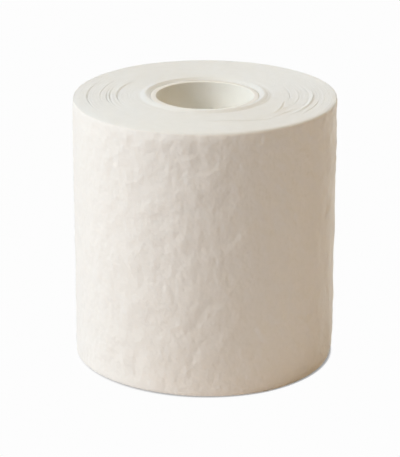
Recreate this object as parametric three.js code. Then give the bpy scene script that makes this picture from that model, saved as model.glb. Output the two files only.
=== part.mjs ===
// A roll of nonwoven adhesive fixation tape on a board core, standing on one end face.
// Millimetres, +Z up. The origin is the centre of the end face that the roll stands on.
// The front of the roll faces -Y, and the tape's cut end lies at the back.

import * as THREE from "three";

const TAPE_WIDTH = 75;
const ROLL_DIAMETER = 73.4;
const BORE_DIAMETER = 26.9;
const CORE_WALL = 1.55;
const SEAT_GAP = 0.5;

// One turn is the tape and the release liner that is wound with it.
const TURN_THICKNESS = 0.35;

// Seen from above, anticlockwise from +X, so that 90 degrees is straight behind the roll.
const CUT_END_DEGREES = 100;
const CUT_END_STRIP_DEGREES = 0.4;

const RIM_BEVEL = 0.3;
const SOFT_EDGE = 0.4;
const GAP_DEPTH = 0.45;

const SECTIONS = 90;

const CORE_RADIUS = BORE_DIAMETER / 2 + CORE_WALL;

// Bands of turns that slipped past each other while the roll was wound, from the core outwards.
// outer: the band's outer radius at the front. lift: how far the band stands above the flat turns.
// gap: the width of the parting outside it. soft: the rounding of the band's two edges.
// The first row is the proud collar, the fifth a raised ridge, and the last the outside of the roll.
const BANDS = [
  { outer: 17.4, lift: 0.6, gap: 0, soft: SOFT_EDGE },
  { outer: 24.0, lift: 0, gap: 0.4, soft: 0 },
  { outer: 26.6, lift: 0.12, gap: 0.5, soft: 0 },
  { outer: 29.3, lift: 0, gap: 0, soft: 0 },
  { outer: 30.1, lift: 0.25, gap: 0, soft: 0 },
  { outer: 32.4, lift: 0, gap: 0.4, soft: 0 },
  { outer: 34.9, lift: 0.12, gap: 0, soft: 0 },
  { outer: ROLL_DIAMETER / 2, lift: 0, gap: 0, soft: SOFT_EDGE },
];

const boardMaterial = new THREE.MeshStandardMaterial({
  name: "white board",
  color: 0xf1ece1,
  roughness: 0.8,
  metalness: 0,
});

const nonwovenMaterial = new THREE.MeshStandardMaterial({
  name: "off-white nonwoven",
  color: 0xf0ebe2,
  roughness: 0.95,
  metalness: 0,
});

// The tube's wall as a closed outline, with both rims slightly bevelled.
function coreGeometry() {
  const inner = BORE_DIAMETER / 2;
  const wall = [
    [inner, RIM_BEVEL],
    [inner + RIM_BEVEL, 0],
    [CORE_RADIUS - RIM_BEVEL, 0],
    [CORE_RADIUS, RIM_BEVEL],
    [CORE_RADIUS, TAPE_WIDTH - RIM_BEVEL],
    [CORE_RADIUS - RIM_BEVEL, TAPE_WIDTH],
    [inner + RIM_BEVEL, TAPE_WIDTH],
    [inner, TAPE_WIDTH - RIM_BEVEL],
    [inner, RIM_BEVEL],
  ];
  const outline = wall.map(([radius, height]) => new THREE.Vector2(radius, height));
  const geometry = new THREE.LatheGeometry(outline, SECTIONS);
  geometry.rotateX(Math.PI / 2);
  return geometry;
}

// One end of the winding from the core outwards, as [radius, height] points.
// intoRoll is the direction along Z from this end into the roll: 1 at the bottom and -1 at the top.
// Every turn is as wide as the next, so a band that stands proud at the top is set back at the bottom.
function endOutline(endHeight, intoRoll) {
  const outline = [];
  let innerEdge = CORE_RADIUS + SEAT_GAP;
  for (const { outer, lift, gap, soft } of BANDS) {
    const level = endHeight + lift;
    const outerEdge = outer - gap / 2;
    const isFirst = outline.length === 0;
    if (isFirst) {
      outline.push([innerEdge, level + intoRoll * soft]);
    }
    outline.push([isFirst ? innerEdge + soft : innerEdge, level]);
    outline.push([outerEdge - soft, level]);
    if (soft > 0) {
      outline.push([outerEdge, level + intoRoll * soft]);
    }
    if (gap > 0) {
      outline.push([outer, level + intoRoll * GAP_DEPTH]);
    }
    innerEdge = outer + gap / 2;
  }
  return outline;
}

// Sweeps a closed [radius, height] outline once round the axis. Each turn lies on the one before it,
// so the outline moves outwards by one turn's thickness on the way round. The narrow strip that
// closes the sweep drops back by that much: it is the cut end outside, and the tape's start inside.
function windOnce(outline) {
  const stripAngle = THREE.MathUtils.degToRad(CUT_END_STRIP_DEGREES);
  const startAngle = THREE.MathUtils.degToRad(CUT_END_DEGREES);
  const sweep = 2 * Math.PI - stripAngle;
  const positions = [];
  const triangles = [];
  const count = outline.length;
  for (let section = 0; section < SECTIONS; section += 1) {
    const share = section / (SECTIONS - 1);
    const angle = startAngle + share * sweep;
    const climb = (share - 0.5) * TURN_THICKNESS;
    const next = (section + 1) % SECTIONS;
    for (let point = 0; point < count; point += 1) {
      const [radius, height] = outline[point];
      const reach = radius + climb;
      positions.push(reach * Math.cos(angle), reach * Math.sin(angle), height);
      const beside = (point + 1) % count;
      const corner = section * count + point;
      const cornerBeside = section * count + beside;
      const nextCorner = next * count + point;
      const nextBeside = next * count + beside;
      triangles.push(corner, nextCorner, cornerBeside);
      triangles.push(cornerBeside, nextCorner, nextBeside);
    }
  }
  const geometry = new THREE.BufferGeometry();
  geometry.setAttribute("position", new THREE.Float32BufferAttribute(positions, 3));
  geometry.setIndex(triangles);
  geometry.computeVertexNormals();
  return geometry;
}

function windingGeometry() {
  const bottom = endOutline(0, 1);
  const top = endOutline(TAPE_WIDTH, -1);
  return windOnce([...bottom, ...top.reverse()]);
}

const coreTube = new THREE.Mesh(coreGeometry(), boardMaterial);
coreTube.name = "core_tube";

const woundTape = new THREE.Mesh(windingGeometry(), nonwovenMaterial);
woundTape.name = "wound_tape";

const roll = new THREE.Group();
roll.name = "tape_roll";
roll.add(coreTube, woundTape);

export default roll;
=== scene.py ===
# A roll of off-white nonwoven fixation tape on a board core, standing on one end face.
# Metres, +Z up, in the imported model's frame. The front of the roll faces -Y.
# Angles round the roll run anticlockwise from +X, seen from above: left is 180 and the front is 270.

import math

import bpy
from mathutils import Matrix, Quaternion, Vector


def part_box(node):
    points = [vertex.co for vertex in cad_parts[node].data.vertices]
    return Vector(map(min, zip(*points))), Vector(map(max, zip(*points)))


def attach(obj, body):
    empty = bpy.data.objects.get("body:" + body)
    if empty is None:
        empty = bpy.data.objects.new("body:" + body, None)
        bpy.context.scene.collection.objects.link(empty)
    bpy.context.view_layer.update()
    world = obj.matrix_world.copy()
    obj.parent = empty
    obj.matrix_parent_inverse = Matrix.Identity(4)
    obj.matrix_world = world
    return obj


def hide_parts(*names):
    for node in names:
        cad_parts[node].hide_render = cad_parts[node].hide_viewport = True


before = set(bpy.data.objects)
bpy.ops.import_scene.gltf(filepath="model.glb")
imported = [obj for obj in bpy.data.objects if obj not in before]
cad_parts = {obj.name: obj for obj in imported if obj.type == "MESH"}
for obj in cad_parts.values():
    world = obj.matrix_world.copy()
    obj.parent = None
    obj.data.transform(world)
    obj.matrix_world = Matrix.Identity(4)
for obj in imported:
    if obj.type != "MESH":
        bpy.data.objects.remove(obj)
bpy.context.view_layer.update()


# The camera stands in front of the roll and a little above it, with a long lens, so that the wall
# fills most of the picture and the top face shows as a low ellipse. It leans by a hair to one side.
MM = 0.001

core_low, core_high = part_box("core_tube")
tape_width = core_high.z - core_low.z
roll_middle = Vector((0, 0, core_low.z + tape_width / 2))
camera_distance = 639.7 * MM
camera_rise = math.radians(19.38)
camera_lean = math.radians(0.15)
aim_offset = Vector((-1.21, -0.52, -1.48)) * MM

camera_data = bpy.data.cameras.new("camera")
camera_data.lens = 178.96
camera_data.sensor_width = 36
camera = bpy.data.objects.new("camera", camera_data)
toward_camera = Vector((0, -math.cos(camera_rise), math.sin(camera_rise)))
camera.location = roll_middle + camera_distance * toward_camera
line_of_sight = roll_middle + aim_offset - camera.location
facing = line_of_sight.to_track_quat("-Z", "Y") @ Quaternion((0, 0, 1), camera_lean)
camera.rotation_euler = facing.to_euler()
bpy.context.scene.collection.objects.link(camera)
bpy.context.scene.camera = camera


# The core is a tube of white-lined board, wound on the skew from strips, glued and sawn to length.
# Its two rims are a little soft from the saw, and the seam of its lining climbs round the bore.
BORE_RADIUS = 13.45 * MM
INNER_ROUNDING = 0.25 * MM
OUTER_ROUNDING = 0.12 * MM
RIM_STEPS = 4
CORE_STEPS_ROUND = 192
LINING_PITCH = 64 * MM
LINING_SEAM_WIDTH = 0.5 * MM
PLY_THICKNESS = 0.4 * MM

# The top rim wavers from the saw, in two waves. Each is a count of how many times it rises on the way
# round, and the angle that it starts at.
SAW_WAVER = 0.05 * MM
SAW_WAVES = ((3, 1.0), (7, 0.0))


class Amount:
    """A number worked out by a node tree, so that a formula reads as it does on paper."""

    def __init__(self, tree, socket):
        self.tree = tree
        self.socket = socket

    def math(self, operation, *others):
        node = self.tree.nodes.new("ShaderNodeMath")
        node.operation = operation
        for socket, value in zip(node.inputs, (self, *others)):
            feed(self.tree, socket, value)
        return Amount(self.tree, node.outputs[0])

    def __add__(self, other):
        return self.math("ADD", other)

    def __sub__(self, other):
        return self.math("SUBTRACT", other)

    def __mul__(self, other):
        return self.math("MULTIPLY", other)

    def __truediv__(self, other):
        return self.math("DIVIDE", other)

    def __rsub__(self, other):
        return self * -1 + other

    __radd__ = __add__
    __rmul__ = __mul__

    def above(self, limit):
        return self.math("GREATER_THAN", limit)

    def below(self, limit):
        return self.math("LESS_THAN", limit)

    def unsigned(self):
        return self.math("ABSOLUTE")

    def ramp(self, start, end):
        """0 up to start, 1 from end on, and a soft rise between them. It falls where start is past end."""
        node = self.tree.nodes.new("ShaderNodeMapRange")
        node.interpolation_type = "SMOOTHSTEP"
        feed(self.tree, node.inputs["Value"], self)
        feed(self.tree, node.inputs["From Min"], start)
        feed(self.tree, node.inputs["From Max"], end)
        return Amount(self.tree, node.outputs["Result"])


def feed(tree, socket, value):
    """Gives a socket an amount, another socket or a plain value."""
    if isinstance(value, Amount):
        tree.links.new(value.socket, socket)
    elif isinstance(value, bpy.types.NodeSocket):
        tree.links.new(value, socket)
    else:
        socket.default_value = value


def add_node(tree, kind, settings=None, **inputs):
    """A node with its settings, and with its inputs by name, an underscore standing for a space."""
    node = tree.nodes.new(kind)
    for name, value in (settings or {}).items():
        setattr(node, name, value)
    for name, value in inputs.items():
        feed(tree, node.inputs[name.replace("_", " ")], value)
    return node


def parts_of(tree, point):
    separated = add_node(tree, "ShaderNodeSeparateXYZ", Vector=point)
    return [Amount(tree, socket) for socket in separated.outputs]


def point_at(tree, x, y, z):
    return add_node(tree, "ShaderNodeCombineXYZ", X=x, Y=y, Z=z).outputs[0]


def evened(tree, noise):
    """A noise node's value, mostly from -1 to 1."""
    return (Amount(tree, noise.outputs[0]) - 0.5) * 4


def clouds(tree, point, width, seed=0.0, detail=1.0):
    """Cloudy noise, mostly from -1 to 1, whose clouds are about the given width across."""
    noise = add_node(
        tree, "ShaderNodeTexNoise", {"noise_dimensions": "4D"},
        Vector=point, W=seed, Scale=1 / width, Detail=detail,
    )
    return evened(tree, noise)


def new_material(name, roughness, sheen=0.0):
    """A material with its node tree, its shader and the point on the piece that it colours."""
    material = bpy.data.materials.new(name)
    material.use_nodes = True
    tree = material.node_tree
    shader = tree.nodes["Principled BSDF"]
    shader.inputs["Roughness"].default_value = roughness
    shader.inputs["Specular IOR Level"].default_value = 0.25
    shader.inputs["Sheen Weight"].default_value = sheen
    shader.inputs["Sheen Roughness"].default_value = 0.6
    point = tree.nodes.new("ShaderNodeTexCoord").outputs["Object"]
    return material, tree, shader, point


def tint(tree, shader, amount, dark, light):
    """Colours the shader from dark at amount -1 to light at amount 1."""
    mixed = add_node(tree, "ShaderNodeMix", {"data_type": "RGBA"})
    # Of this node's many sockets, inputs 6 and 7 and output 2 are the ones for colours.
    feed(tree, mixed.inputs[0], amount * 0.5 + 0.5)
    feed(tree, mixed.inputs[6], (*dark, 1))
    feed(tree, mixed.inputs[7], (*light, 1))
    feed(tree, shader.inputs["Base Color"], mixed.outputs[2])


def raise_surface(tree, shader, height, depth):
    """Bump, where height is from -1 to 1 and depth is what 1 stands for, in metres."""
    bump = add_node(tree, "ShaderNodeBump", Height=height, Distance=depth)
    feed(tree, shader.inputs["Normal"], bump.outputs[0])


core_radius = core_high.y
wall_middle = (BORE_RADIUS + core_radius) / 2
core_outline = []
for corner_radius, corner_height, rounding, first_degrees in (
    (core_radius, core_low.z, OUTER_ROUNDING, -90),
    (core_radius, core_high.z, OUTER_ROUNDING, 0),
    (BORE_RADIUS, core_high.z, INNER_ROUNDING, 90),
    (BORE_RADIUS, core_low.z, INNER_ROUNDING, 180),
):
    side = 1 if corner_radius > wall_middle else -1
    end = 1 if corner_height > roll_middle.z else -1
    for step in range(RIM_STEPS + 1):
        turn = math.radians(first_degrees + 90 * step / RIM_STEPS)
        core_outline.append((
            corner_radius + rounding * (math.cos(turn) - side),
            corner_height + rounding * (math.sin(turn) - end),
        ))

core_points = []
core_faces = []
for step in range(CORE_STEPS_ROUND):
    angle = math.tau * step / CORE_STEPS_ROUND
    waves = [math.sin(count * angle + start) for count, start in SAW_WAVES]
    waver = SAW_WAVER * sum(waves) / len(waves)
    following = (step + 1) % CORE_STEPS_ROUND
    for place, (radius, height) in enumerate(core_outline):
        lowered = SAW_WAVER - waver if height > roll_middle.z else 0
        core_points.append((radius * math.cos(angle), radius * math.sin(angle), height - lowered))
        beside = (place + 1) % len(core_outline)
        core_faces.append((
            step * len(core_outline) + place,
            following * len(core_outline) + place,
            following * len(core_outline) + beside,
            step * len(core_outline) + beside,
        ))

# The bore's lining is nearly white. The sawn rims are darker and show the plies of the board.
board, tree, shader, point = new_material("white board", roughness=0.7)
x, y, z = parts_of(tree, point)
radius = (x * x + y * y).math("SQRT")
turn = y.math("ARCTAN2", x) / math.tau
climb = (turn - z / LINING_PITCH).math("FRACT")
beside_seam = (climb - 0.5).unsigned().ramp(0, LINING_SEAM_WIDTH / LINING_PITCH)
on_rim = radius.above(BORE_RADIUS + INNER_ROUNDING)
plies = ((radius - BORE_RADIUS) * (math.tau / PLY_THICKNESS)).math("SINE")
grain = clouds(tree, point, 0.25 * MM, detail=3)
mottle = clouds(tree, point, 3 * MM, detail=2)
tint(
    tree, shader, mottle * 0.3 + grain * 0.2 + on_rim * (plies * 0.4 - 1.7) + 0.8,
    dark=(0.87, 0.85, 0.79), light=(0.985, 0.965, 0.895),
)
raise_surface(tree, shader, grain * 0.3 + beside_seam + on_rim * plies * 0.5, depth=0.05 * MM)

core_mesh = bpy.data.meshes.new("board_core")
core_mesh.from_pydata(core_points, [], core_faces)
core_mesh.shade_smooth()
core_mesh.materials.append(board)
board_core = bpy.data.objects.new("board_core", core_mesh)
bpy.context.scene.collection.objects.link(board_core)
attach(board_core, "root")
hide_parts("core_tube")


# The tape is one strip of nonwoven with its release liner, wound tight by machine. Its cut edges make
# the two end faces: a fine spiral of turns, some of which slipped a little past their neighbours.
# All turns but the last are this piece.
TURNS = 61
SEAT_GAP = 0.08 * MM
CUT_END_DEGREES = 100

# The start of the strip is pressed flat under the next turn: the share of its thickness that it loses.
START_FLATTENING = 0.85

# The steps across a turn's edge are its groove and the two sides of its crest, which lie at these
# shares of the tape's thickness.
STEPS_IN_TURN = 3
CREST_START = 0.22
CREST_END = 0.78
EDGE_GROOVE = 0.05 * MM
STEPS_ROUND = 256
WELD = 0.001 * MM

# A turn's edge stands a little above or below its neighbours by chance, which comes from a noise: how
# far that moves on with each turn, and how far apart two seeds lie in it.
EDGE_UNEVENNESS = 0.025 * MM
NOISE_PER_TURN = 1.7
SEED_SPACING = 100

# The innermost turns make a collar, proud of the face at the top and set back at the bottom.
COLLAR_LIFT = 0.62 * MM
COLLAR_FOOT = 15.0 * MM
COLLAR_CREST = 16.45 * MM
COLLAR_END = 18.3 * MM

# Arcs where a few turns climb to a ridge, from the radius outwards, and the next one falls back.
# way: the side of the roll that an arc is centred on. reach: how far it runs from there to each side.
# Both are in degrees. The radius and the height are in millimetres. turns: how many turns climb.
RIDGES = [
    {"radius": 25.0, "way": 355, "reach": 32, "turns": 4, "height": 0.12},
    {"radius": 29.2, "way": 346, "reach": 38, "turns": 3, "height": 0.42},
    {"radius": 32.3, "way": 352, "reach": 25, "turns": 4, "height": 0.08},
    {"radius": 24.8, "way": 328, "reach": 20, "turns": 2, "height": 0.30},
    {"radius": 27.6, "way": 322, "reach": 14, "turns": 2, "height": 0.25},
]

# Arcs where the turns have parted, with these sizes in millimetres too.
# width: how far apart they lie. depth: how deep the groove between them is.
# step: how far the turns outside it rise and those inside it sink, or the other way where it is below 0.
# drift: how much further out the arc ends than it starts, going anticlockwise.
PARTINGS = [
    {"radius": 17.6, "way": 345, "reach": 45, "width": 0.25, "depth": 0.18, "step": 0.05},
    {"radius": 23.6, "way": 180, "reach": 42, "width": 0.45, "depth": 0.75, "step": 0.07},
    {"radius": 26.0, "way": 187, "reach": 28, "width": 0.45, "depth": 0.75, "step": 0.07},
    {"radius": 26.7, "way": 187, "reach": 28, "width": 0.40, "depth": 0.6, "step": 0.05},
    {"radius": 28.4, "way": 174, "reach": 34, "width": 0.22, "depth": 0.27, "step": 0.05},
    {"radius": 31.8, "way": 181, "reach": 27, "width": 0.45, "depth": 0.75, "step": 0.07},
    {"radius": 23.8, "way": 3, "reach": 20, "width": 0.25, "depth": 0.35, "step": 0.05},
    {"radius": 24.2, "way": 332, "reach": 17, "width": 0.35, "depth": 0.8, "step": -0.06, "drift": -3.6},
    {"radius": 32.1, "way": 339, "reach": 17, "width": 0.25, "depth": 0.6, "step": -0.04},
    {"radius": 25.4, "way": 279, "reach": 17, "width": 0.20, "depth": 0.6, "step": -0.04, "drift": 1.6},
    {"radius": 27.4, "way": 298, "reach": 15, "width": 0.35, "depth": 0.8, "step": -0.06, "drift": 4.6},
]

# How many turns the width and the step of a parting fade over, and how near a corner is to the line
# of an arc, in turns, to be counted as on it.
PARTING_FADE_TURNS = 3
ON_LINE = 0.1

# The outermost turns are worn down a little at both ends of the roll, all the way round.
SHOULDER_TURNS = 5
TOP_WORN = 0.15 * MM
BOTTOM_WORN = 0.10 * MM

# On some sides they also slope down, and their very edges are pressed inwards, from handling.
# way: the side of the roll, in degrees. spread: 1 for half of the way round, and less for less.
# turns: how many of the outermost turns it takes. by: how far it goes at most, in millimetres.
TOP_SLOPES = [
    {"way": 190, "spread": 0.6, "turns": 24, "by": 0.35},
    {"way": 212, "spread": 0.5, "turns": 12, "by": 0.20},
    {"way": 300, "spread": 0.9, "turns": 3, "by": 0.62},
]
BOTTOM_SLOPES = [{"way": 208, "spread": 1.0, "turns": 24, "by": 0.65}]
TOP_PRESSED = {"way": 250, "spread": 1.0, "turns": 10, "by": 0.4}
BOTTOM_PRESSED = {"way": 357, "spread": 0.5, "turns": 10, "by": 0.9}

# At the top the pressed edges also go down, by this share of how far they go inwards.
TOP_PRESSED_DOWN = 0.4

# The turns between the collar and the outside lie a little to the left, in full between two radii.
GREATEST_SLIP = 0.4 * MM
SLIP_FULL_FROM = 21.3 * MM
SLIP_FULL_TO = 33 * MM

# An end face is a disc on the baked picture: its radius, and the share of that which is the hole.
CHART_DISC_RADIUS = 0.29
CHART_DISC_HOLE = 0.28

tape_low, tape_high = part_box("wound_tape")
outer_radius = (tape_high.x - tape_low.x) / 2
first_radius = core_radius + SEAT_GAP
turn_thickness = (outer_radius - first_radius) / (TURNS + 0.5 - START_FLATTENING)


def geometry_tree(name, sizes):
    """A geometry tree that has the sizes as named inputs. Gives the tree and those amounts."""
    tree = bpy.data.node_groups.new(name, "GeometryNodeTree")
    tree.interface.new_socket("Geometry", in_out="OUTPUT", socket_type="NodeSocketGeometry")
    for label, value in sizes.items():
        kind = "NodeSocketInt" if isinstance(value, int) else "NodeSocketFloat"
        tree.interface.new_socket(label, in_out="INPUT", socket_type=kind)
    entry = tree.nodes.new("NodeGroupInput")
    return tree, {label: Amount(tree, entry.outputs[label]) for label in sizes}


def patch(tree, columns, rows, place, chart, turned_over=False):
    """A sheet of quads that carries its place on the tape and its place on the baked picture.

    place and chart work these out from the share of the way across the sheet and up it.
    """
    grid = add_node(
        tree, "GeometryNodeMeshGrid",
        Size_X=1, Size_Y=1, Vertices_X=columns + 1, Vertices_Y=rows + 1,
    )
    x, y, _ = parts_of(tree, tree.nodes.new("GeometryNodeInputPosition").outputs[0])
    across = x + 0.5
    up = y + 0.5
    placed = add_node(
        tree, "GeometryNodeStoreNamedAttribute", {"data_type": "FLOAT_VECTOR", "domain": "CORNER"},
        Geometry=grid.outputs["Mesh"], Name="tape_place", Value=point_at(tree, *place(across, up)),
    )
    charted = add_node(
        tree, "GeometryNodeStoreNamedAttribute", {"data_type": "FLOAT2", "domain": "CORNER"},
        Geometry=placed.outputs[0], Name="OFBake", Value=point_at(tree, *chart(across, up), 0),
    )
    if not turned_over:
        return charted.outputs[0]
    return add_node(tree, "GeometryNodeFlipFaces", Mesh=charted.outputs[0]).outputs[0]


def place_on_tape(tree):
    """The three amounts that each corner of the sheets carries as its place on the tape."""
    attribute = add_node(
        tree, "GeometryNodeInputNamedAttribute", {"data_type": "FLOAT_VECTOR"}, Name="tape_place",
    )
    return parts_of(tree, attribute.outputs[0])


def finish_tree(tree, sheets, position, material):
    """Joins the sheets, moves them into place, welds and smooths them and gives them their material."""
    joined = tree.nodes.new("GeometryNodeJoinGeometry")
    for sheet in reversed(sheets):
        tree.links.new(sheet, joined.inputs[0])
    shaped = add_node(
        tree, "GeometryNodeSetPosition", Geometry=joined.outputs[0], Position=position,
    )
    welded = add_node(
        tree, "GeometryNodeMergeByDistance", Geometry=shaped.outputs[0], Distance=WELD,
    )
    smooth = add_node(tree, "GeometryNodeSetShadeSmooth", Geometry=welded.outputs[0])
    real = add_node(tree, "GeometryNodeRealizeInstances", Geometry=smooth.outputs[0])
    dressed = add_node(
        tree, "GeometryNodeSetMaterial", Geometry=real.outputs[0], Material=material,
    )
    tree.links.new(dressed.outputs[0], tree.nodes.new("NodeGroupOutput").inputs[0])


def make_piece(name, tree, sizes):
    """Runs the tree with its sizes set, and keeps what it makes as a plain mesh object."""
    piece = bpy.data.objects.new(name, bpy.data.meshes.new(name + "_start"))
    bpy.context.scene.collection.objects.link(piece)
    modifier = piece.modifiers.new("shape", "NODES")
    modifier.node_group = tree
    for item in tree.interface.items_tree:
        if item.in_out == "INPUT":
            modifier[item.identifier] = sizes[item.name]
    evaluated = piece.evaluated_get(bpy.context.evaluated_depsgraph_get())
    mesh = bpy.data.meshes.new_from_object(evaluated)
    piece.modifiers.remove(modifier)
    piece.data = mesh
    mesh.name = name
    # The first slot is an empty one, left by the object that the tree started from.
    mesh.materials.pop(index=0)
    return piece


def disc_chart(middle):
    """The chart of an end face: a disc round a middle, whose radius grows with the steps outwards."""
    def chart(across, up):
        radius = (across * (1 - CHART_DISC_HOLE) + CHART_DISC_HOLE) * CHART_DISC_RADIUS
        angle = up * math.tau
        return middle[0] + radius * angle.math("COSINE"), middle[1] + radius * angle.math("SINE")
    return chart


def strip_chart(left, bottom, width, height):
    """The chart of a strip: a plain rectangle."""
    return lambda across, up: (across * width + left, up * height + bottom)


def turns_to(radius):
    """How many turns are wound before the strip reaches a radius."""
    return (radius - first_radius) / turn_thickness + START_FLATTENING


def unevenness(tree, size, laid):
    """How far the edge of the turn stands above its neighbours, where so many turns are laid."""
    wander = add_node(
        tree, "ShaderNodeTexNoise", {"noise_dimensions": "1D"},
        W=laid * NOISE_PER_TURN + size["Seed"] * SEED_SPACING, Scale=1, Detail=1,
    )
    return evened(tree, wander) * size["Unevenness"]


def outermost(laid, turns):
    """Rises from 0 over so many of the outermost turns, and would be 1 half a turn past the last."""
    return ((laid - (TURNS + 0.5 - turns)).math("MAXIMUM", 0) / turns).math("POWER", 2)


def towards(angle, way, spread):
    """1 on the side of the roll that faces a way, falling to 0 on both sides of it."""
    return ((angle - math.radians(way)).math("COSINE") - 1 + spread).math("MAXIMUM", 0) / spread


def worn_on_side(laid, angle, row):
    """How far the turns have moved there, for a row of the slopes or of the pressed edges."""
    return outermost(laid, row["turns"]) * towards(angle, row["way"], row["spread"]) * (row["by"] * MM)


def worn_down(laid, angle):
    """How far the tape's edge lies inside the plain end face, at the top and at the bottom."""
    shoulder = outermost(laid, SHOULDER_TURNS)
    at_top = shoulder * TOP_WORN + worn_on_side(laid, angle, TOP_PRESSED) * TOP_PRESSED_DOWN
    at_bottom = shoulder * BOTTOM_WORN
    for row in TOP_SLOPES:
        at_top += worn_on_side(laid, angle, row)
    for row in BOTTOM_SLOPES:
        at_bottom += worn_on_side(laid, angle, row)
    return at_top, at_bottom


def arc(share, row):
    """For an arc of the tables: how many turns are laid under it, and its strength, at each way round."""
    middle_share = ((row["way"] - CUT_END_DEGREES) / 360) % 1
    whole_turn = round(turns_to(row["radius"] * MM) - middle_share)
    way_round = (share - middle_share + 0.5).math("FRACT") - 0.5
    strength = way_round.unsigned().ramp(row["reach"] / 360, 0)
    drift_turns = row.get("drift", 0) * MM / turn_thickness
    strayed = (way_round * (drift_turns * 180 / row["reach"])).math("ROUND")
    return way_round + strayed + (whole_turn + middle_share), strength


wound_sizes = {
    "Turns": TURNS - 1,
    "Steps round": STEPS_ROUND,
    "First radius": first_radius,
    "Turn thickness": turn_thickness,
    "Tape width": tape_width,
    "Groove depth": EDGE_GROOVE,
    "Unevenness": EDGE_UNEVENNESS,
    "Start angle": math.radians(CUT_END_DEGREES),
    "Seed": 3.0,
}
tree, size = geometry_tree("wound turns", wound_sizes)
steps_out = size["Turns"] * STEPS_IN_TURN
last_turn = size["Turns"] - 1

# The top and bottom end faces, the inner and outer walls, and the two ends of the strip. A corner's
# place on the tape is its step outwards, its share of the way round and its share of the height.
sheets = [
    patch(
        tree, steps_out, size["Steps round"],
        place=lambda across, up: (across * steps_out, up, 1.0),
        chart=disc_chart((0.293, 0.293)),
    ),
    patch(
        tree, steps_out, size["Steps round"],
        place=lambda across, up: (across * steps_out, up, 0.0),
        chart=disc_chart((0.707, 0.707)), turned_over=True,
    ),
    patch(
        tree, size["Steps round"], 1,
        place=lambda across, up: (0.0, across, up),
        chart=strip_chart(0.70, 0.02, 0.28, 0.02), turned_over=True,
    ),
    patch(
        tree, size["Steps round"], 1,
        place=lambda across, up: (steps_out, across, up),
        chart=strip_chart(0.70, 0.06, 0.28, 0.02),
    ),
    patch(
        tree, STEPS_IN_TURN, 1,
        place=lambda across, up: (across * STEPS_IN_TURN, 0.0, up),
        chart=strip_chart(0.70, 0.10, 0.02, 0.28),
    ),
    patch(
        tree, STEPS_IN_TURN, 1,
        place=lambda across, up: ((across + last_turn) * STEPS_IN_TURN, 1.0, up),
        chart=strip_chart(0.74, 0.10, 0.02, 0.28), turned_over=True,
    ),
]
step, share, up = place_on_tape(tree)
step = step.math("ROUND")
turn = ((step + 0.5) / STEPS_IN_TURN).math("FLOOR")
step_in_turn = step - turn * STEPS_IN_TURN
on_crest = step_in_turn.above(0.5)
in_groove = 1 - on_crest
share_of_thickness = on_crest * CREST_START + step_in_turn.above(1.5) * (CREST_END - CREST_START)
laid = turn + share
wound = laid + share_of_thickness

# How far each turn stands above the plain end face: the collar, the ridges and the partings.
collar_rise = wound.ramp(turns_to(COLLAR_FOOT), turns_to(COLLAR_CREST))
collar_fall = wound.ramp(turns_to(COLLAR_CREST), turns_to(COLLAR_END))
lift = (collar_rise - collar_fall) * COLLAR_LIFT
for row in RIDGES:
    laid_under, strength = arc(share, row)
    turns_out = wound - laid_under
    climb = (turns_out / row["turns"]).math("MAXIMUM", 0) * turns_out.below(row["turns"] - ON_LINE)
    lift += strength * climb * (row["height"] * MM)
parting_depth = 0
parting_shift = 0
for row in PARTINGS:
    laid_under, strength = arc(share, row)
    turns_out = wound - laid_under
    at_border = turns_out.unsigned().below(ON_LINE)
    fading = (turns_out.unsigned() / -PARTING_FADE_TURNS).math("EXPONENT")
    direction = turns_out.above(ON_LINE) - turns_out.below(-ON_LINE)
    parting_depth += strength * at_border * (row["depth"] * MM)
    parting_shift += strength * fading * direction * (row["width"] / 2 * MM)
    lift += strength * fading * direction * (row["step"] * MM)

# The height of each corner. A groove goes further into the roll than both of the turns beside it.
groove = in_groove * (size["Groove depth"] + parting_depth)
uneven = unevenness(tree, size, laid)
uneven_inside = unevenness(tree, size, laid - 1)
high_lift = lift + on_crest * uneven + in_groove * uneven.math("MINIMUM", uneven_inside) - groove
low_lift = lift + on_crest * uneven + in_groove * uneven.math("MAXIMUM", uneven_inside) + groove
angle = size["Start angle"] + share * math.tau
worn_at_top, worn_at_bottom = worn_down(wound, angle)
top = size["Tape width"] - worn_at_top + high_lift
bottom = worn_at_bottom + low_lift.math("MAXIMUM", 0)
height = bottom + (top - bottom) * up

# How far out each corner lies.
pressed_at_top = worn_on_side(wound, angle, TOP_PRESSED)
pressed_at_bottom = worn_on_side(wound, angle, BOTTOM_PRESSED)
pressed = pressed_at_bottom + (pressed_at_top - pressed_at_bottom) * up
thicknesses = wound - wound.math("MINIMUM", 1) * START_FLATTENING
plain_radius = size["First radius"] + size["Turn thickness"] * thicknesses
radius = plain_radius + parting_shift - pressed
slip = plain_radius.ramp(COLLAR_END, SLIP_FULL_FROM) * GREATEST_SLIP
slip = slip * plain_radius.ramp(outer_radius, SLIP_FULL_TO)
position = point_at(
    tree, radius * angle.math("COSINE") - slip, radius * angle.math("SINE"), height,
)

edge_cloth, shading, shader, point = new_material("tape edges", roughness=0.9, sheen=0.2)
fuzz = clouds(shading, point, 0.12 * MM, detail=3)
mottle = clouds(shading, point, 2.5 * MM, detail=2)
tint(
    shading, shader, mottle * 0.5 + fuzz * 0.25,
    dark=(0.855, 0.86, 0.825), light=(0.905, 0.91, 0.885),
)
raise_surface(shading, shader, fuzz, depth=0.02 * MM)

finish_tree(tree, sheets, position, edge_cloth)
wound_turns = make_piece("wound_turns", tree, wound_sizes)
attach(wound_turns, "root")
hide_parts("wound_tape")


# The last turn is what shows of the tape's own face: a soft, crinkled nonwoven of fine fibres, pressed
# flat and cut square at its end, which lies against the turn below at the back.
WALL_STEPS_ROUND = 840
WALL_ROWS = 100
EDGE_STEPS = 4

# How much closer together the rows lie at the two edges: 0 for not at all, and 1 for no room left.
ROWS_TO_EDGES = 0.55

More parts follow.
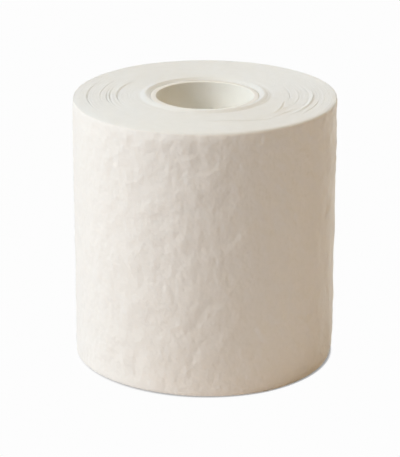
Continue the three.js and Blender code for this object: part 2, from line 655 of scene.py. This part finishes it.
# How far it lies clear of the turn below, and how thin it may get.
WALL_CLEARANCE = 0.02 * MM
THINNEST = 0.05 * MM

# Its two outer corners are rounded: by how much, and from which share of the thickness on.
EDGE_ROUNDING = 0.06 * MM
ROUNDING_START = 0.2

# The face swings in and out, ripples and has shallow hollows with soft rims. A size is about how wide
# they are, and a depth is how far they go. The ripples and hollows lie a little sunk.
SWING_SIZE = 30 * MM
SWING_DEPTH = 0.05 * MM
RIPPLE_SIZE = 8 * MM
RIPPLE_DEPTH = 0.15 * MM
HOLLOW_SIZE = 5.5 * MM
HOLLOW_DEPTH = 0.12 * MM
HOLLOW_RIM = 0.25
SUNK = 0.06 * MM

# The right of the roll is crumpled more than the left. The places where that begins and ends are shares
# of the roll's radius, from the axis to the right.
LEAST_CRUMPLED = 0.9
MORE_CRUMPLED = 1.1
CRUMPLED_BETWEEN = (-0.05, 0.75)

# The relief fades over this share of the tape's width towards each edge.
CALM_EDGE = 0.04

# Near both edges the face is drawn in: in full on one side of the roll, and elsewhere by a share of it.
DRAWN_IN = 0.28 * MM
DRAWN_IN_HEIGHT = 3.0 * MM
DRAWN_IN_POWER = 2
DRAWN_IN_WAY = 300
DRAWN_IN_SPREAD = 0.8
DRAWN_IN_ELSEWHERE = 0.65

# How far from the edges the wall is pressed in, together with the edges of the turns below it.
PRESSED_HEIGHT = 4.5 * MM
PRESSED_POWER = 2.5

# A share of the thickness under this is the plain inner face.
INNER_FACE = 0.01


def closer(up):
    """The height up the wall, with the rows drawn closer together towards both edges."""
    return up - (up * math.tau).math("SINE") * (ROWS_TO_EDGES / math.tau)


def gathered(across, up):
    """The height up an end strip, gathered into two corners where it meets the plain inner wall."""
    return closer(up) + (up.math("ROUND") - closer(up)) * across.below(INNER_FACE)


def drawn_out(tree, point, times):
    """The point with its height divided, which draws a pattern out along the height."""
    x, y, z = parts_of(tree, point)
    return point_at(tree, x, y, z / times)


def crumpled(to_the_right):
    """How strongly the face is crumpled. to_the_right is -1 at the roll's far left, 1 at its far right."""
    return to_the_right.ramp(*CRUMPLED_BETWEEN) * MORE_CRUMPLED + LEAST_CRUMPLED


def near_edge(distance, height, power):
    """1 at an edge of the tape, falling to 0 at a height away from it."""
    return (1 - distance / height).math("MAXIMUM", 0).math("POWER", power)


outer_sizes = {
    "Steps round": WALL_STEPS_ROUND,
    "Rows": WALL_ROWS,
    "Inner radius": first_radius + (TURNS - 1 - START_FLATTENING) * turn_thickness,
    "Turn thickness": turn_thickness,
    "Tape width": tape_width,
    "Edge rounding": EDGE_ROUNDING,
    "Start angle": math.radians(CUT_END_DEGREES),
    "Seed": 8.0,
}
tree, size = geometry_tree("outer turn", outer_sizes)

# The outer and inner faces, the top and bottom edges, and the two ends. A corner's place on the tape
# is its share of the thickness, of the way round and of the height. On the baked picture the outer face
# lies in two halves, one above the other.
sheets = [
    patch(
        tree, size["Steps round"], size["Rows"],
        place=lambda across, up: (1.0, across, closer(up)),
        chart=lambda across, up: (
            (across * 2).math("FRACT") * 0.745 + 0.01,
            up * 0.48 + across.above(0.5) * 0.5 + 0.01,
        ),
    ),
    patch(
        tree, size["Steps round"], 1,
        place=lambda across, up: (0.0, across, up),
        chart=strip_chart(0.78, 0.02, 0.2, 0.02), turned_over=True,
    ),
    patch(
        tree, size["Steps round"], EDGE_STEPS,
        place=lambda across, up: (1 - up, across, 1.0),
        chart=strip_chart(0.78, 0.06, 0.2, 0.02),
    ),
    patch(
        tree, size["Steps round"], EDGE_STEPS,
        place=lambda across, up: (up, across, 0.0),
        chart=strip_chart(0.78, 0.10, 0.2, 0.02),
    ),
    patch(
        tree, EDGE_STEPS, size["Rows"],
        place=lambda across, up: (across, 0.0, gathered(across, up)),
        chart=strip_chart(0.78, 0.15, 0.02, 0.48),
    ),
    patch(
        tree, EDGE_STEPS, size["Rows"],
        place=lambda across, up: (across, 1.0, gathered(across, up)),
        chart=strip_chart(0.82, 0.15, 0.02, 0.48), turned_over=True,
    ),
]
depth, share, up = place_on_tape(tree)
angle = size["Start angle"] + share * math.tau
inside_radius = size["Inner radius"] + size["Turn thickness"] * share
smooth_point = point_at(
    tree,
    inside_radius * angle.math("COSINE"),
    inside_radius * angle.math("SINE"),
    up * size["Tape width"],
)

# The relief of the face, in metres outwards.
swing = clouds(tree, smooth_point, SWING_SIZE, size["Seed"])
ripples = clouds(tree, drawn_out(tree, smooth_point, 1.2), RIPPLE_SIZE, size["Seed"])
hollows = clouds(tree, drawn_out(tree, smooth_point, 1.1), HOLLOW_SIZE, size["Seed"] + 5, detail=2)
relief = ripples * RIPPLE_DEPTH + (hollows.ramp(-HOLLOW_RIM, HOLLOW_RIM) - 1) * HOLLOW_DEPTH
relief = swing * SWING_DEPTH + (relief - SUNK) * crumpled(angle.math("COSINE"))
from_edge = up.math("MINIMUM", 1 - up)
relief = relief * from_edge.ramp(0, CALM_EDGE)

# The edges lie where the turns below have theirs, rounded, drawn in and pressed in.
laid = share + (TURNS - 1)
worn_at_top, worn_at_bottom = worn_down(laid, angle)
rounded = depth.ramp(ROUNDING_START, 1) * size["Edge rounding"]
bottom = worn_at_bottom + rounded
height = bottom + (size["Tape width"] - worn_at_top - rounded - bottom) * up
edge_distance = from_edge * size["Tape width"]
sideways = towards(angle, DRAWN_IN_WAY, DRAWN_IN_SPREAD) * (1 - DRAWN_IN_ELSEWHERE) + DRAWN_IN_ELSEWHERE
drawn = near_edge(edge_distance, DRAWN_IN_HEIGHT, DRAWN_IN_POWER) * sideways * DRAWN_IN
thickness = (size["Turn thickness"] - WALL_CLEARANCE + relief - drawn).math("MAXIMUM", THINNEST)
pressed_at_top = worn_on_side(laid, angle, TOP_PRESSED)
pressed_at_bottom = worn_on_side(laid, angle, BOTTOM_PRESSED)
pressed = pressed_at_bottom + (pressed_at_top - pressed_at_bottom) * up.above(0.5)

# The plain inner face has corners at the two edges alone, so it is pressed in full at each of them.
outside = near_edge(edge_distance, PRESSED_HEIGHT, PRESSED_POWER) * depth.above(INNER_FACE)
radius = inside_radius + WALL_CLEARANCE + depth * thickness - pressed * (outside + depth.below(INNER_FACE))
position = point_at(
    tree, radius * angle.math("COSINE"), radius * angle.math("SINE"), height,
)

wall_cloth, shading, shader, point = new_material("nonwoven face", roughness=0.9, sheen=0.25)
fuzz = clouds(shading, point, 0.15 * MM, detail=4)
mottle = clouds(shading, point, 1.2 * MM, detail=3)
wrinkles = clouds(shading, drawn_out(shading, point, 1.1), 4 * MM, detail=2)
wrinkles = wrinkles * crumpled(parts_of(shading, point)[0] / outer_radius)
tint(
    shading, shader, mottle * 0.4 + fuzz * 0.2,
    dark=(0.87, 0.85, 0.80), light=(0.93, 0.91, 0.87),
)
raise_surface(shading, shader, fuzz * 0.06 + mottle * 0.1 + wrinkles, depth=0.16 * MM)

finish_tree(tree, sheets, position, wall_cloth)
outer_turn = make_piece("outer_turn", tree, outer_sizes)
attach(outer_turn, "root")
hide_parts("wound_tape")


# The roll stands on a plain white table in a white studio. A broad soft window lights it from the left,
# and a little light comes back from the room on the right and behind and, warmer, from the table.
FLOOR_SIZE = 6.0

# The camera sees the table and the room as one plain white, save for a painted contact shadow at the
# roll's foot. The table's own colour is what lights the roll.
BACKDROP_WHITE = (0.982, 0.982, 0.982, 1)
TABLE_COLOUR = (0.97, 0.89, 0.85, 1)
NO_LIGHT = (0, 0, 0, 1)

# The painted contact shadow at the roll's foot, which darkens the white that the camera sees: how far it
# spreads, and the share of white that is left in it. It goes by how open the table is one way, towards
# the light: under the first share it is in full painted shade, and over the second in none.
PAINTED_SHADOW_WIDTH = 0.9 * MM
PAINTED_SHADOW_WHITE = 0.35
OPEN_WAY = (-0.9, 0.3, 0.8)
OPEN_BETWEEN = (0.3, 0.9)

# way: where the light stands, as an angle round the roll. rise: how high it stands, in degrees.
# size: its two sides, in metres. power: in watts, for red, green and blue.
LIGHT_DISTANCE = 1.5
LIGHTS = [
    {"name": "window", "way": 195, "rise": 40, "size": (0.7, 0.7), "power": (15.5, 15.5, 15.8)},
    {"name": "window_foot", "way": 180, "rise": 30, "size": (0.7, 0.7), "power": (1.4, 2.5, 3.0)},
    {"name": "ceiling", "way": 270, "rise": 75, "size": (0.7, 0.7), "power": (6.4, 5.8, 5.0)},
    {"name": "far_wall", "way": 60, "rise": 10, "size": (0.45, 0.45), "power": (7.7, 8.6, 8.7)},
    {"name": "back_wall", "way": 90, "rise": 30, "size": (0.7, 0.7), "power": (1.0, 1.8, 3.4)},
    {"name": "side_wall", "way": 0, "rise": 50, "size": (0.7, 0.7), "power": (4.0, 2.6, 0.9)},
]


def seen_or_lighting(tree, seen, lighting, output):
    """Shows one shader to the camera and lights the roll with another."""
    mixed = tree.nodes.new("ShaderNodeMixShader")
    feed(tree, mixed.inputs[0], tree.nodes.new("ShaderNodeLightPath").outputs["Is Camera Ray"])
    feed(tree, mixed.inputs[1], lighting.outputs[0])
    feed(tree, mixed.inputs[2], seen.outputs[0])
    feed(tree, output.inputs["Surface"], mixed.outputs[0])


floor_mesh = bpy.data.meshes.new("floor")
half = FLOOR_SIZE / 2
floor_mesh.from_pydata(
    [(-half, -half, 0), (half, -half, 0), (half, half, 0), (-half, half, 0)], [], [(0, 1, 2, 3)],
)
floor = bpy.data.objects.new("floor", floor_mesh)
bpy.context.scene.collection.objects.link(floor)
white_table = bpy.data.materials.new("white table")
white_table.use_nodes = True
tree = white_table.node_tree
tree.nodes.remove(tree.nodes["Principled BSDF"])
openness = add_node(
    tree, "ShaderNodeAmbientOcclusion", {"samples": 16}, Distance=PAINTED_SHADOW_WIDTH,
    Normal=point_at(tree, *OPEN_WAY),
)
# The white that the camera sees is darkened into a painted shadow where the roll closes the table in.
clear_of_painted_shadow = Amount(tree, openness.outputs["AO"]).ramp(*OPEN_BETWEEN)
seen_or_lighting(
    tree,
    seen=add_node(
        tree, "ShaderNodeEmission",
        Color=BACKDROP_WHITE, Strength=clear_of_painted_shadow * (1 - PAINTED_SHADOW_WHITE) + PAINTED_SHADOW_WHITE,
    ),
    lighting=add_node(tree, "ShaderNodeBsdfDiffuse", Color=TABLE_COLOUR),
    output=tree.nodes["Material Output"],
)
floor_mesh.materials.append(white_table)

world = bpy.data.worlds.new("room")
world.use_nodes = True
bpy.context.scene.world = world
tree = world.node_tree
tree.nodes.remove(tree.nodes["Background"])
seen_or_lighting(
    tree,
    seen=add_node(tree, "ShaderNodeBackground", Color=BACKDROP_WHITE, Strength=1.0),
    lighting=add_node(tree, "ShaderNodeBackground", Color=NO_LIGHT, Strength=1.0),
    output=tree.nodes["World Output"],
)

for row in LIGHTS:
    light_data = bpy.data.lights.new(row["name"], "AREA")
    light_data.shape = "RECTANGLE"
    light_data.size, light_data.size_y = row["size"]
    light_data.energy = max(row["power"])
    light_data.color = [part / max(row["power"]) for part in row["power"]]
    light = bpy.data.objects.new(row["name"], light_data)
    way = math.radians(row["way"])
    rise = math.radians(row["rise"])
    outward = Vector((math.cos(way) * math.cos(rise), math.sin(way) * math.cos(rise), math.sin(rise)))
    light.location = roll_middle + LIGHT_DISTANCE * outward
    light.rotation_euler = outward.to_track_quat("Z", "Y").to_euler()
    bpy.context.scene.collection.objects.link(light)

bpy.context.scene.view_settings.view_transform = "Standard"
